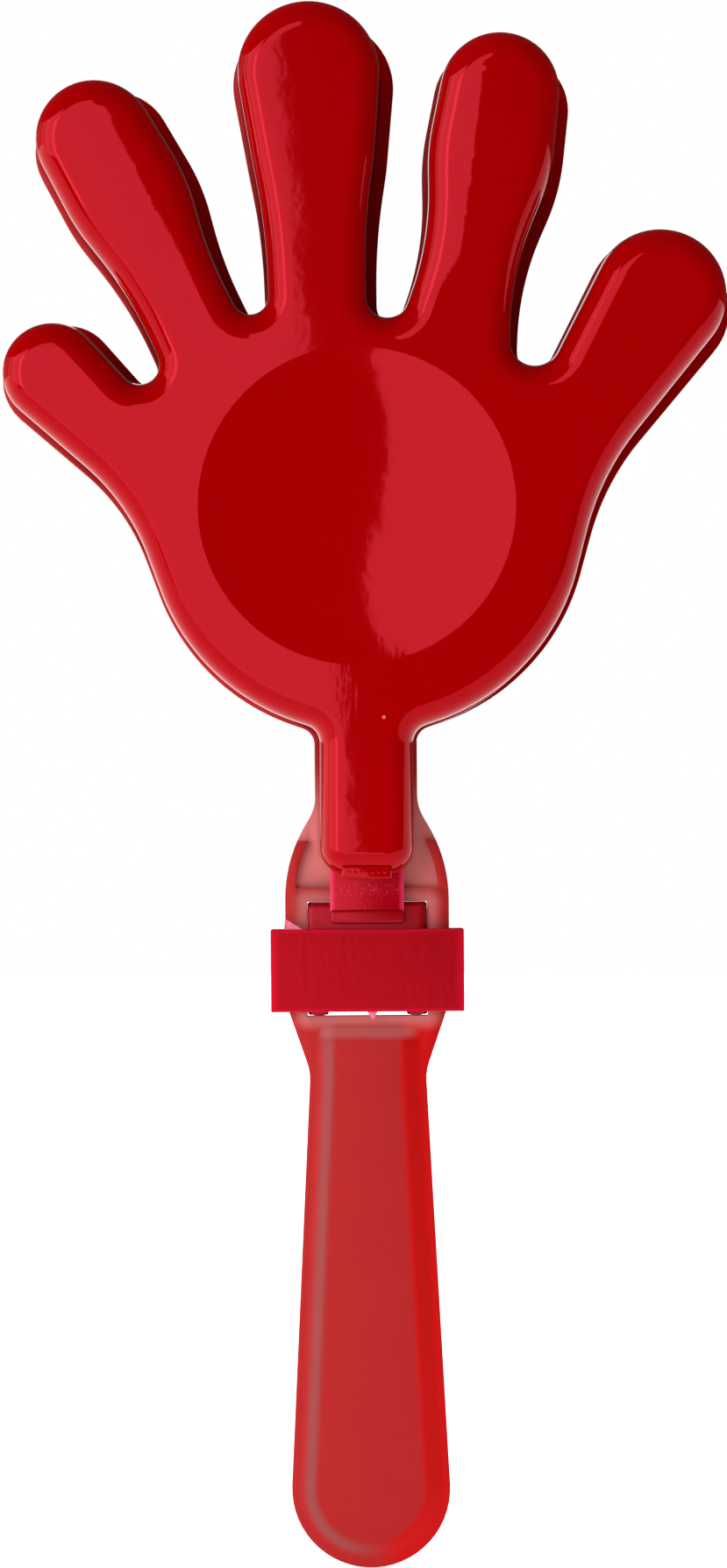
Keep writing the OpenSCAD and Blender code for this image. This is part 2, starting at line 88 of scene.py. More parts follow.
def make_piece(name, bm, material, smooth_turn=radians(40)):
    """Makes an object of a finished bmesh, shaded smooth where two faces turn by less than that."""
    bmesh.ops.recalc_face_normals(bm, faces=bm.faces)
    for face in bm.faces:
        face.smooth = True
    for edge in bm.edges:
        edge.smooth = not edge.is_manifold or edge.calc_face_angle() < smooth_turn
    mesh = bpy.data.meshes.new(name)
    bm.to_mesh(mesh)
    bm.free()
    mesh.materials.append(material)
    piece = bpy.data.objects.new(name, mesh)
    bpy.context.scene.collection.objects.link(piece)
    return piece


def linear(hex_colour):
    channels = [int(hex_colour[i:i + 2], 16) / 255 for i in (1, 3, 5)]
    return (*[c / 12.92 if c <= 0.04045 else ((c + 0.055) / 1.055) ** 2.4 for c in channels], 1)


def set_inputs(tree, node, inputs):
    """Gives each input a constant, or a link from a socket or from a node's first live output."""
    for key, value in inputs.items():
        if isinstance(value, bpy.types.Node):
            value = next(socket for socket in value.outputs if socket.enabled)
        if isinstance(value, bpy.types.NodeSocket):
            tree.links.new(value, node.inputs[key])
        else:
            node.inputs[key].default_value = value


def add_node(tree, kind, inputs=None, **settings):
    made = tree.nodes.new(kind)
    for key, value in settings.items():
        setattr(made, key, value)
    set_inputs(tree, made, inputs or {})
    return made


def new_material(name):
    material = bpy.data.materials.new(name)
    material.use_nodes = True
    return material, material.node_tree, material.node_tree.nodes["Principled BSDF"]


# Polypropylene from a finely etched mould: satin and a little cloudy. Light is painted into its colour:
# a pale painted glow round the window and over the pocket beside the neck, and painted light on the slope.
handle_red = linear("#971E1E")
handle_deep_red = linear("#901A1A")
# painted light: a pale glow round the window and over the pocket, and a highlight on the slope's top
handle_painted_light = linear("#B26462")
# painted shade side: a purer red for the right slope, which mirrors no light
handle_shade_side_red = linear("#AA0606")
# painted reflection: a dull greyish red for the left slope, which mirrors the grey surroundings
handle_painted_reflection = linear("#7A3B3A")
cloud_size = 9 * mm
etch_size = 0.5 * mm
etch_depth = 0.05 * mm
handle_material, tree, shader = new_material("polypropylene_satin_red")
coords = add_node(tree, "ShaderNodeTexCoord").outputs["Object"]
at_x, at_y, at_z = add_node(tree, "ShaderNodeSeparateXYZ", {"Vector": coords}).outputs
off_middle = add_node(tree, "ShaderNodeMath", {0: at_x}, operation="ABSOLUTE")
depth = add_node(tree, "ShaderNodeMath", {0: at_y}, operation="ABSOLUTE")

# the distance from the window's edge, since the painted glow lies in a narrow band round it
window_half, window_low, window_high = 10.75 * mm, 50.2 * mm, 70.6 * mm
beside = add_node(tree, "ShaderNodeMath", {0: off_middle, 1: window_half}, operation="SUBTRACT")
over = add_node(tree, "ShaderNodeMath", {0: at_z, 1: window_high}, operation="SUBTRACT")
under = add_node(tree, "ShaderNodeMath", {0: window_low, 1: at_z}, operation="SUBTRACT")
past_end = add_node(tree, "ShaderNodeMath", {0: over, 1: under}, operation="MAXIMUM")
past_edges = add_node(tree, "ShaderNodeCombineXYZ", {"X": beside, "Z": past_end})
outside = add_node(tree, "ShaderNodeVectorMath", {0: past_edges, 1: (0, 0, 0)}, operation="MAXIMUM")
off_window = add_node(tree, "ShaderNodeVectorMath", {0: outside}, operation="LENGTH")

# the distances from the grip's edge and from the top of its raised face, which has a slope all round
grip_end_up, grip_end_r = -34 * mm, 14.1 * mm
waist_up, waist_half = 39 * mm, 10.4 * mm
face_top = 49.2 * mm
left_line_in, top_line_in = 3.3 * mm, 1.8 * mm
from_end = add_node(tree, "ShaderNodeMath", {0: at_z, 1: grip_end_up}, operation="SUBTRACT")
below_end = add_node(tree, "ShaderNodeMath", {0: from_end, 1: 0}, operation="MINIMUM")
from_axis = add_node(tree, "ShaderNodeCombineXYZ", {"X": at_x, "Z": below_end})
off_axis = add_node(tree, "ShaderNodeVectorMath", {0: from_axis}, operation="LENGTH")
grip_half = add_node(tree, "ShaderNodeMapRange", {"Value": at_z,
                                                  "From Min": grip_end_up, "From Max": waist_up,
                                                  "To Min": grip_end_r, "To Max": waist_half})
from_edge = add_node(tree, "ShaderNodeMath", {0: grip_half, 1: off_axis}, operation="SUBTRACT")
from_top = add_node(tree, "ShaderNodeMath", {0: face_top, 1: at_z}, operation="SUBTRACT")
past_left_line = add_node(tree, "ShaderNodeMath", {0: from_edge, 1: left_line_in}, operation="SUBTRACT")
off_left_line = add_node(tree, "ShaderNodeMath", {0: past_left_line}, operation="ABSOLUTE")
past_top_line = add_node(tree, "ShaderNodeMath", {0: from_top, 1: top_line_in}, operation="SUBTRACT")
off_top_line = add_node(tree, "ShaderNodeMath", {0: past_top_line}, operation="ABSOLUTE")

# each place by what measures it, where its share is none and where it is full, in millimetres
reaches = {
    "round_window": (off_window, 3.2, 0.2),
    "sunk": (depth, 2.6, 1.9),
    "over_window": (at_z, 71, 74),
    "under_palm": (at_z, 96, 84),
    "on_grip": (from_top, -0.5, 0.5),
    "near_edge": (from_edge, 5.2, 4),
    "on_right": (at_x, 0, 6),
    "on_left": (at_x, 4, -6),
    "on_left_line": (off_left_line, 1.7, 0.2),
    "in_middle": (off_middle, 9.5, 7),
    "on_top_line": (off_top_line, 1.8, 0.3),
}
share = {
    name: add_node(tree, "ShaderNodeMapRange", {"Value": value, "From Min": none_at * mm,
                                                "From Max": full_at * mm}, interpolation_type="SMOOTHSTEP")
    for name, (value, none_at, full_at) in reaches.items()
}

# painted light on the slope: a purer red on the right, painted as its shade side, which mirrors no light,
# a dull painted reflection on the left and a painted highlight on top; a painted glow also lies round the
# window and over the floor of the pocket above it
# the strength of the painted glow round the window and of the painted highlight on top
window_painted_light_most, top_painted_light_most = 0.9, 0.6
products = {}
for name, first, second in (
    ("right_edge", share["near_edge"], share["on_right"]),
    ("left_edge", share["on_left_line"], share["on_left"]),
    ("top_edge", share["on_top_line"], share["in_middle"]),
    ("pocket", share["over_window"], share["under_palm"]),
    ("window_painted_light", share["round_window"], window_painted_light_most),
):
    products[name] = add_node(tree, "ShaderNodeMath", {0: first, 1: second}, operation="MULTIPLY")
for name, first, second in (
    ("shade_side", products["right_edge"], share["on_grip"]),
    ("painted_reflection", products["left_edge"], share["on_grip"]),
    ("top_painted_light", products["top_edge"], top_painted_light_most),
    ("pocket_painted_light", products["pocket"], share["sunk"]),
):
    products[name] = add_node(tree, "ShaderNodeMath", {0: first, 1: second}, operation="MULTIPLY")
# the painted light is the strongest of the glow round the window, the glow in the pocket and the highlight
# on top
painted_light = products["window_painted_light"]
for other_painted_light in (products["pocket_painted_light"], products["top_painted_light"]):
    painted_light = add_node(tree, "ShaderNodeMath", {0: painted_light, 1: other_painted_light}, operation="MAXIMUM")
cloud = add_node(tree, "ShaderNodeTexNoise", {"Vector": coords, "Scale": 1 / cloud_size, "Detail": 3})
# light is painted into the colour last: the shade side, the reflection, then the glow and highlight
handle_colour = handle_deep_red
for factor, tone in ((cloud, handle_red), (products["shade_side"], handle_shade_side_red),
                     (products["painted_reflection"], handle_painted_reflection), (painted_light, handle_painted_light)):
    handle_colour = add_node(tree, "ShaderNodeMix", {"Factor": factor, "A": handle_colour, "B": tone},
                             data_type="RGBA")
etch = add_node(tree, "ShaderNodeTexNoise", {"Vector": coords, "Scale": 1 / etch_size, "Detail": 2})
etched = add_node(tree, "ShaderNodeBump", {"Height": etch, "Strength": 0.12, "Distance": etch_depth})
set_inputs(tree, shader, {"Base Color": handle_colour, "Normal": etched, "Roughness": 0.42, "IOR": 1.49,
                          "Specular Tint": (1, 0.12, 0.12, 1)})

handle = make_piece("handle_moulding", handle_bm, handle_material, handle_corner_turn)
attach(handle, "handle")
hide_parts("handle")

# Outer hands: two hollow polystyrene shells from one mould, thin and deep, with upright sides, a rounded
# shoulder, a flat face and a shallow round dish in the palm. Each flexes on a strap moulded in one with it.
hinge_up = 72 * mm
hinge_out = 4.9 * mm
palm_up = 67.5 * mm
palm_r = 38.8 * mm
neck_half = 8.4 * mm
neck_fillet = 3.1 * mm
neck_corner = 5 * mm
neck_end_up = 3.4 * mm
belly_back = 9.5 * mm
belly_curve_r = 38 * mm
hollow_play = 0.3 * mm
tangent_play = 0.05 * mm


def from_palm(x, up, r):
    """A pulley given in millimetres from the middle of the palm."""
    return (x * mm, palm_up + up * mm, r * mm)


def finger_hollow(web, belly, r, side):
    """The long hollow that runs from a finger's belly into the web beside it."""
    from_web, from_belly = r * mm + web[2] + tangent_play, r * mm + belly[2] + tangent_play
    across, up = belly[0] - web[0], belly[1] - web[1]
    apart = hypot(across, up)
    along = (from_web ** 2 - from_belly ** 2 + apart ** 2) / (2 * apart)
    aside = side * sqrt(from_web ** 2 - along ** 2)
    x = web[0] + (across * along - up * aside) / apart
    return (x, web[1] + (up * along + across * aside) / apart, -r * mm)


def finger(tip, r, lean, belly, hollow_r, right_web, left_web):
    """A finger's tip and two bellies, with the hollow beside each belly and the web at its right."""
    back, aside, curve = belly_back / mm, belly_curve_r / mm - belly, belly_curve_r / mm
    low = (tip[0] - back * sin(radians(lean)), tip[1] - back * cos(radians(lean)))
    to_side = (aside * cos(radians(lean)), -aside * sin(radians(lean)))
    right = from_palm(low[0] - to_side[0], low[1] - to_side[1], curve)
    left = from_palm(low[0] + to_side[0], low[1] + to_side[1], curve)
    return [right_web, finger_hollow(right_web, right, hollow_r, -1), right, from_palm(*tip, r),
            left, finger_hollow(left_web, left, hollow_r, 1)]


def palm_hollow(turn, r):
    """The hollow beside the palm, at that turn from straight up."""
    away = palm_r / mm + r + hollow_play / mm
    return from_palm(away * sin(radians(turn)), away * cos(radians(turn)), -r)


# The outline is a belt round pulleys, each with its place across, its place up and its radius.
# A negative radius is a hollow, where the belt runs round the pulley's other side.
fillet_drop = sqrt((palm_r + neck_fillet) ** 2 - (neck_half + neck_fillet) ** 2) + tangent_play
palm = (0, palm_up, palm_r)
index_tip, index_lean = (23.9, 74.3), 8.5
middle_tip, middle_lean = (-9.8, 77.8), -3
ring_tip, ring_lean = (-47.5, 66.3), -29.5
thumb_web = from_palm(30.1, 30.6, -4.4)
index_web = from_palm(4, 38.5, -3.7)
ring_web = from_palm(-20.3, 38.7, -3.2)
little_web = from_palm(-39.9, 26.7, -3.5)
hand_pulleys = [
    (-neck_half + neck_corner, neck_end_up + neck_corner, neck_corner),
    (neck_half - neck_corner, neck_end_up + neck_corner, neck_corner),
    (neck_half + neck_fillet, palm_up - fillet_drop, -neck_fillet),
    palm,
    palm_hollow(99.5, 46),
    from_palm(52.2, 38.5, 11.69),
    *finger(index_tip, 10.5, index_lean, 11, 52, thumb_web, index_web),
    *finger(middle_tip, 12.55, middle_lean, 11.2, 108, index_web, ring_web),
    *finger(ring_tip, 10.4, ring_lean, 10.7, 70, ring_web, little_web),
    little_web,
    from_palm(-55.3, 25.3, 8.8),
    palm_hollow(-105.1, 38),
    palm,
    (-neck_half - neck_fillet, palm_up - fillet_drop, -neck_fillet),
]
belt_chord = 1.2 * mm
belt_turn = radians(9)
turn_play = pi / 3
least_arc = 0.001


def leave_turn(a, b):
    """The turn at which the belt leaves one pulley for the next."""
    across, up = b[0] - a[0], b[1] - a[1]
    return atan2(up, across) - acos((a[2] - b[2]) / hypot(across, up))


def face_front(face, front=True):
    face.normal_update()
    if (face.normal.y > 0) == front:
        face.normal_flip()


def belt_face(bm, pulleys, level):
    """A flat face of the belt's outline, facing the front, at that level."""
    corners = []
    for i, (x, up, r) in enumerate(pulleys):
        start = leave_turn(pulleys[i - 1], (x, up, r))
        turn = leave_turn((x, up, r), pulleys[(i + 1) % len(pulleys)]) - start
        if r > 0:
            arc = max(0, turn - 2 * pi * floor((turn + turn_play) / (2 * pi)))
        else:
            arc = min(0, turn - 2 * pi * ceil((turn - turn_play) / (2 * pi)))
        steps = max(1, ceil(abs(arc * r) / belt_chord), ceil(abs(arc) / belt_turn))
        first = bm.verts.new((x + r * cos(start), level, up + r * sin(start)))
        count = len(bm.verts)
        if abs(arc) > least_arc:
            bmesh.ops.spin(bm, geom=[first], cent=(x, level, up), axis=(0, -1, 0), angle=arc, steps=steps)
        corners += [first, *list(bm.verts)[count:]]
    for a, b in zip(corners, corners[1:] + corners[:1]):
        if not any(b in e.verts for e in a.link_edges):
            bm.edges.new((a, b))
    edges = list({e for v in corners for e in v.link_edges})
    face = bmesh.ops.contextual_create(bm, geom=edges)["faces"][0]
    face_front(face)
    return face


def step_in(bm, face, steps):
    """Insets a face again and again, each time by a width and a rise along its own normal."""
    for width, rise in steps:
        bmesh.ops.inset_region(bm, faces=[face], thickness=width, depth=rise, use_even_offset=True,
                               use_boundary=True)


def round_over(width, height, steps):
    """The steps of a quarter round, from upright to flat."""
    turns = [pi / 2 * k / steps for k in range(steps + 1)]
    return [(width * (cos(a) - cos(b)), height * (sin(b) - sin(a))) for a, b in zip(turns, turns[1:])]


# The ring and index fingers are very slightly crowned across their faces, the others are flat there.
crowned_fingers = ((ring_tip, ring_lean, 140 * mm), (index_tip, index_lean, 105 * mm))
crown_long = 44 * mm
crown_half = 13 * mm
crown_ease = 18 * mm
crown_rows, row_apart = 13, 4 * mm
columns_each_side, column_apart = 4, 1.5 * mm
level_within = 0.001 * mm
root_within = 0.01 * mm
shoulder_w, shoulder_h = 4.3 * mm, 3.93 * mm


def crown_finger(bm, dish, face_level, tip, lean, crown_r):
    """Cuts the flat face across and then along a finger, and lets its two sides sink."""
    along, across = Vector((sin(lean), 0, cos(lean))), Vector((cos(lean), 0, -sin(lean)))
    cuts = [(tip - along * (crown_long - k * row_apart), along, False) for k in range(crown_rows)]
    columns = range(-columns_each_side, columns_each_side + 1)
    cuts += [(tip + across * k * column_apart, across, True) for k in columns]
    for point, normal, finger_only in cuts:
        flat = [f for f in bm.faces
                if f != dish and all(abs(v.co.y - face_level) < level_within for v in f.verts)]
        if finger_only:
            reach = crown_long + root_within
            flat = [f for f in flat if all((tip - v.co).dot(along) < reach for v in f.verts)]
        parts = {*flat, *(e for f in flat for e in f.edges), *(v for f in flat for v in f.verts)}
        bmesh.ops.bisect_plane(bm, geom=list(parts), dist=level_within, plane_co=point, plane_no=normal)
    for v in bm.verts:
        off, back = (v.co - tip).dot(across), (tip - v.co).dot(along)
        near_face = 1 - (v.co.y - face_level) / shoulder_h
        if abs(off) < crown_half and back < crown_long and near_face > 0:
            eased = min(1, (crown_long - back) / crown_ease)
            v.co.y += off ** 2 / (2 * crown_r) * near_face * eased ** 2 * (3 - 2 * eased)


def add_bar(bm, size, centre, edge_r):
    """A block with rounded edges."""
    bar = bmesh.ops.create_cube(bm, size=1)["verts"]
    bmesh.ops.scale(bm, verts=bar, vec=size)
    bmesh.ops.translate(bm, verts=bar, vec=centre)
    round_off(bm, list({e for v in bar for e in v.link_edges}), edge_r, 3)


rim_back = 2.6 * mm
rim_h = 0.6 * mm
rim_slope = 0.16 * mm
rim_flat = 0.2 * mm
side_draft, side_h = 0.1 * mm, 3.4 * mm
shoulder_steps = 12
face_edge = 0.2 * mm
hollow_in = 2.2 * mm
hollow_wall_h = 3.1 * mm
hollow_w, hollow_h, hollow_steps = 2.5 * mm, 3.25 * mm, 6
dish_at = (-1.5 * mm, palm_up + 1.8 * mm)
dish_r = 27.9 * mm
dish_sunk = 0.9 * mm
dish_edge = 0.3 * mm
dish_sides, dish_rings = 120, 18
dish_twist_per_m = 0.5
neck_bar_size = (8.9 * mm, 5.6 * mm, 2.4 * mm)
neck_bar_up = neck_end_up + 0.9 * mm
neck_bar_out = 2.2 * mm
neck_bar_edge_r = 0.45 * mm
pip_r, pip_apart, pips_each_side = 0.34 * mm, 1.05 * mm, 3
pip_out = 4.86 * mm


def hand_shell(hand_place):
    bm = bmesh.new()
    outside = belt_face(bm, hand_pulleys, rim_back - rim_slope)
    rim = list(outside.verts)
    step_in(bm, outside, [(0, rim_h - rim_slope), (side_draft, side_h),
                          *round_over(shoulder_w, shoulder_h, shoulder_steps), (face_edge, 0)])
    rim_edges = [e for e in bm.edges if all(v in rim for v in e.verts)]
    back = bmesh.ops.contextual_create(bm, geom=rim_edges)["faces"][0]
    face_front(back, False)
    step_in(bm, back, [(hollow_in - rim_flat, rim_slope), (rim_flat, 0), (0, -hollow_wall_h)])
    step_in(bm, back, [(w, -h) for w, h in round_over(hollow_w, hollow_h, hollow_steps)])

    # the dish's round edge is cut into the flat face, and the dish sinks from it as a shallow bowl
    face_edges = list(outside.edges)
    face_level = outside.verts[0].co.y
    bmesh.ops.delete(bm, geom=[outside], context="FACES_ONLY")
    disc = bmesh.ops.create_circle(bm, segments=dish_sides, radius=dish_r + dish_edge, cap_ends=True)
    ring = disc["verts"]
    dish = ring[0].link_faces[0]
    bmesh.ops.rotate(bm, verts=ring, cent=(0, 0, 0), matrix=Matrix.Rotation(radians(90), 3, "X"))
    bmesh.ops.translate(bm, verts=ring, vec=(dish_at[0], face_level, dish_at[1]))
    face_front(dish)
    bmesh.ops.triangle_fill(bm, edges=face_edges + list(dish.edges), use_beauty=True, normal=(0, -1, 0))
    for (tip_x, tip_up), lean, crown_r in crowned_fingers:
        tip = Vector((tip_x * mm, face_level, palm_up + tip_up * mm))
        crown_finger(bm, dish, face_level, tip, radians(lean), crown_r)
    radii = [dish_r * (1 - k / dish_rings) for k in range(dish_rings)]
    sag = [dish_sunk * (1 - (r / dish_r) ** 2) for r in radii]
    bowl = [(a - b, -(q - p)) for a, b, p, q in zip(radii, radii[1:], sag, sag[1:])]
    step_in(bm, dish, [(dish_edge, 0), *bowl])
    for v in bm.verts:
        x, up = v.co.x - dish_at[0], v.co.z - dish_at[1]
        if hypot(x, up) < dish_r and v.co.y < face_level + 2 * dish_sunk:
            v.co.y += dish_twist_per_m * x * up * (1 - (x * x + up * up) / dish_r ** 2)

    # the bar across the neck's lower end, where the strap starts, with a row of small pips on it
    add_bar(bm, neck_bar_size, (0, -neck_bar_out, neck_bar_up), neck_bar_edge_r)
    for k in range(-pips_each_side, pips_each_side + 1):
        pip = bmesh.ops.create_icosphere(bm, subdivisions=2, radius=pip_r)["verts"]
        bmesh.ops.translate(bm, verts=pip, vec=(k * pip_apart, -pip_out, neck_bar_up))
    bmesh.ops.transform(bm, matrix=hand_place, verts=bm.verts)
    return bm


# Polystyrene from a polished mould: a deep glossy red that mirrors the lights, with the faint orange peel
# of a shrinking wall. The gate leaves one pale dot by the neck, and handling a few hair scratches.
hand_red = linear("#930002")
hand_deep_red = linear("#8B0001")
gate_pale = linear("#E08080")
flow_size = 26 * mm
peel_size = 2.2 * mm
sink_size = 13 * mm
scratch_size = 0.9 * mm
scratch_turn = radians(35)
scratch_stretch = (1, 1, 0.15)
relief_depth = 0.03 * mm
gate_at, gate_r, gate_core_r = (3.2 * mm, -13.5 * mm, 103.2 * mm), 0.45 * mm, 0.2 * mm
scuff_at, scuff_r, scuff_core_r = (0.5 * mm, -16 * mm, 110 * mm), 11 * mm, 4 * mm
hand_material, tree, shader = new_material("polystyrene_gloss_red")
coords = add_node(tree, "ShaderNodeTexCoord").outputs["Object"]
flow = add_node(tree, "ShaderNodeTexNoise", {"Vector": coords, "Scale": 1 / flow_size, "Detail": 2})
flowed = add_node(tree, "ShaderNodeMix", {"Factor": flow, "A": hand_deep_red, "B": hand_red},
                  data_type="RGBA")
off_gate = add_node(tree, "ShaderNodeVectorMath", {0: coords, 1: gate_at}, operation="DISTANCE")
gate = add_node(tree, "ShaderNodeMapRange", {"Value": off_gate, "From Min": gate_r, "From Max": gate_core_r})
gated = add_node(tree, "ShaderNodeMix", {"Factor": gate, "A": flowed, "B": gate_pale}, data_type="RGBA")
peel = add_node(tree, "ShaderNodeTexNoise", {"Vector": coords, "Scale": 1 / peel_size, "Detail": 1.5})
sink = add_node(tree, "ShaderNodeTexNoise", {"Vector": coords, "Scale": 1 / sink_size, "Detail": 1})
stretched = add_node(tree, "ShaderNodeMapping", {"Vector": coords, "Rotation": (0, scratch_turn, 0),
                                                 "Scale": scratch_stretch})
scratch = add_node(tree, "ShaderNodeTexNoise", {"Vector": stretched, "Scale": 1 / scratch_size, "Detail": 2})
off_scuff = add_node(tree, "ShaderNodeVectorMath", {0: coords, 1: scuff_at}, operation="DISTANCE")
at_scuff = add_node(tree, "ShaderNodeMapRange", {"Value": off_scuff, "From Min": scuff_r,
                                                 "From Max": scuff_core_r}, interpolation_type="SMOOTHSTEP")
scuff = add_node(tree, "ShaderNodeMath", {0: scratch, 1: at_scuff}, operation="MULTIPLY")
peeled = add_node(tree, "ShaderNodeBump", {"Height": peel, "Strength": 0.1, "Distance": relief_depth})
sunken = add_node(tree, "ShaderNodeBump", {"Height": sink, "Strength": 0.5, "Distance": relief_depth,
                                           "Normal": peeled})
scuffed = add_node(tree, "ShaderNodeBump", {"Height": scuff, "Strength": 0.1, "Distance": relief_depth,
                                            "Normal": sunken})
set_inputs(tree, shader, {"Base Color": gated, "Normal": scuffed, "Roughness": 0.03, "IOR": 1.59,
                          "Specular Tint": (1, 0.08, 0.13, 1)})

# at rest each hand stands a little open and a little askew, and the rear one is the front one's mirror image
at_front_hinge = Matrix.Translation((0, -hinge_out, hinge_up))
hinge_place = {"front": at_front_hinge, "rear": Matrix.Scale(-1, 4, (0, 1, 0)) @ at_front_hinge}
rest_open = {"front": radians(5.5), "rear": radians(2)}
rest_skew = {"front": radians(0.2), "rear": radians(1.2)}
for side in ("front", "rear"):
    body = side + "_hand"
    opened = hinge_place[side] @ Matrix.Rotation(rest_open[side], 4, "X")
    hand_bm = hand_shell(opened @ Matrix.Rotation(rest_skew[side], 4, "Y"))
    hand = make_piece(body + "_shell", hand_bm, hand_material)
    hand.modifiers.new("even_shading", "WEIGHTED_NORMAL").keep_sharp = True
    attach(hand, body)
    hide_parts(body)

# Hinge straps: a thin web of the same plastic between each hand and its foot, moulded in one with them.
# It bends like a leaf spring, and the mould left it a little rough.
strap_w = 13.2 * mm
strap_t = 0.8 * mm
strap_down = 3.2 * mm
strap_up = 5.4 * mm
strap_edge_r = 0.2 * mm
strap_bands = 13
cut_within = 0.0001 * mm

# Polystyrene in a thin web, with light painted into its colour: pink at its sides, where light comes
# through, and dotted with painted highlights where it bends.
strap_red = linear("#8E000E")
# painted light: the pink shows light coming through the sides, and pale glints at the bend
strap_pink = linear("#C43050")
speck_noise_size = 0.4 * mm
speck_noise_depth = 0.15 * mm
pink_from, pink_full = 5.6 * mm, 6.6 * mm
bend_up, bend_reach, bend_core = hinge_up + 0.8 * mm, 2 * mm, 0.4 * mm
strap_material, tree, shader = new_material("polystyrene_thin_web")
coords = add_node(tree, "ShaderNodeTexCoord").outputs["Object"]
at_x, _, at_z = add_node(tree, "ShaderNodeSeparateXYZ", {"Vector": coords}).outputs
off_middle = add_node(tree, "ShaderNodeMath", {0: at_x}, operation="ABSOLUTE")
at_side = add_node(tree, "ShaderNodeMapRange", {"Value": off_middle, "From Min": pink_from,
                                                "From Max": pink_full})
past_bend = add_node(tree, "ShaderNodeMath", {0: at_z, 1: bend_up}, operation="SUBTRACT")
off_bend = add_node(tree, "ShaderNodeMath", {0: past_bend}, operation="ABSOLUTE")
at_bend = add_node(tree, "ShaderNodeMapRange", {"Value": off_bend, "From Min": bend_reach,
                                                "From Max": bend_core}, interpolation_type="SMOOTHSTEP")
# one noise gives both the painted highlights at the bend and the rough bump
speck_noise = add_node(tree, "ShaderNodeTexNoise", {"Vector": coords, "Scale": 1 / speck_noise_size, "Detail": 3})
# dots of painted highlight near the bend
painted_glints = add_node(tree, "ShaderNodeMapRange", {"Value": speck_noise, "From Min": 0.5, "From Max": 0.7,
                                               "To Max": 0.35}, interpolation_type="SMOOTHSTEP")
painted_glint_share = add_node(tree, "ShaderNodeMath", {0: painted_glints, 1: at_bend}, operation="MULTIPLY")
pale = add_node(tree, "ShaderNodeMath", {0: at_side, 1: painted_glint_share}, operation="MAXIMUM")
web_colour = add_node(tree, "ShaderNodeMix", {"Factor": pale, "A": strap_red, "B": strap_pink},
                      data_type="RGBA")
rough = add_node(tree, "ShaderNodeBump", {"Height": speck_noise, "Strength": 0.35, "Distance": speck_noise_depth})
set_inputs(tree, shader, {"Base Color": web_colour, "Normal": rough, "Roughness": 0.22, "IOR": 1.55,
                          "Specular Tint": (1, 0.1, 0.16, 1)})

for side in ("front", "rear"):
    body = side + "_hand"
    bm = bmesh.new()
    web = bmesh.ops.create_cube(bm, size=1)["verts"]
    bmesh.ops.scale(bm, verts=web, vec=(strap_w, strap_t, strap_up + strap_down))
    bmesh.ops.translate(bm, verts=web, vec=(0, 0, (strap_up - strap_down) / 2))
    round_off(bm, [e for e in bm.edges if abs(e.verts[0].co.z - e.verts[1].co.z) > mm], strap_edge_r, 2)
    for k in range(1, strap_bands):
        level = -strap_down + (strap_up + strap_down) * k / strap_bands
        bmesh.ops.bisect_plane(bm, geom=[*bm.verts, *bm.edges, *bm.faces], dist=cut_within,
                               plane_co=(0, 0, level), plane_no=(0, 0, 1))
    bmesh.ops.rotate(bm, verts=[v for v in bm.verts if v.co.z > 0], cent=(0, 0, 0),
                     matrix=Matrix.Rotation(rest_open[side], 3, "X"))
    bmesh.ops.transform(bm, matrix=hinge_place[side], verts=bm.verts)
    strap = make_piece(side + "_strap_web", bm, strap_material)
    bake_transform(strap)
    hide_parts(side + "_hinge_strap")

# Anchor feet: the other end of each strap's moulding, a forked foot that sits in the handle's window back to
# back with its twin. A stout bar across its front takes the strap, and the collar holds both feet in.
foot_w = 21.36 * mm
foot_h = 20.18 * mm
foot_top = -1.47 * mm
foot_t = 3.85 * mm
foot_front = 0.9 * mm
foot_rounds = {"front": (1.4 * mm, 0.9 * mm), "rear": (0.5 * mm, 0.35 * mm)}
notch_w = 14 * mm
notch_h = 8 * mm
foot_bar_size = (strap_w, 2.4 * mm, 2.5 * mm)
foot_bar_at = (0, 0.5 * mm, -4.05 * mm)
foot_bar_edge_r = 0.55 * mm
corner_turn = radians(60)

# Polystyrene again, but from a part of the mould that was left unpolished: a soft sheen and fine tool marks.
foot_red = linear("#870007")
foot_deep_red = linear("#750003")
tool_mark_size = 0.7 * mm
tool_mark_depth = 0.05 * mm
foot_material, tree, shader = new_material("polystyrene_plain_red")
coords = add_node(tree, "ShaderNodeTexCoord").outputs["Object"]
tooled = add_node(tree, "ShaderNodeTexNoise", {"Vector": coords, "Scale": 1 / tool_mark_size, "Detail": 3})
foot_colour = add_node(tree, "ShaderNodeMix", {"Factor": tooled, "A": foot_deep_red, "B": foot_red},
                       data_type="RGBA")
tool_marks = add_node(tree, "ShaderNodeBump", {"Height": tooled, "Strength": 0.15,
                                               "Distance": tool_mark_depth})
set_inputs(tree, shader, {"Base Color": foot_colour, "Normal": tool_marks, "Roughness": 0.3, "IOR": 1.59,
                          "Specular Tint": (1, 0.12, 0.18, 1)})


def draw_out(bm, by):
    """Draws flat faces out into a solid."""
    drawn = bmesh.ops.extrude_face_region(bm, geom=list(bm.faces), use_keep_orig=True)["geom"]
    bmesh.ops.translate(bm, verts=[v for v in drawn if isinstance(v, bmesh.types.BMVert)], vec=by)


def round_corners(bm, r, segments):
    """Rounds all the sharp edges of a solid."""
    bmesh.ops.recalc_face_normals(bm, faces=bm.faces)
    round_off(bm, [e for e in bm.edges if e.calc_face_angle(0) > corner_turn], r, segments)


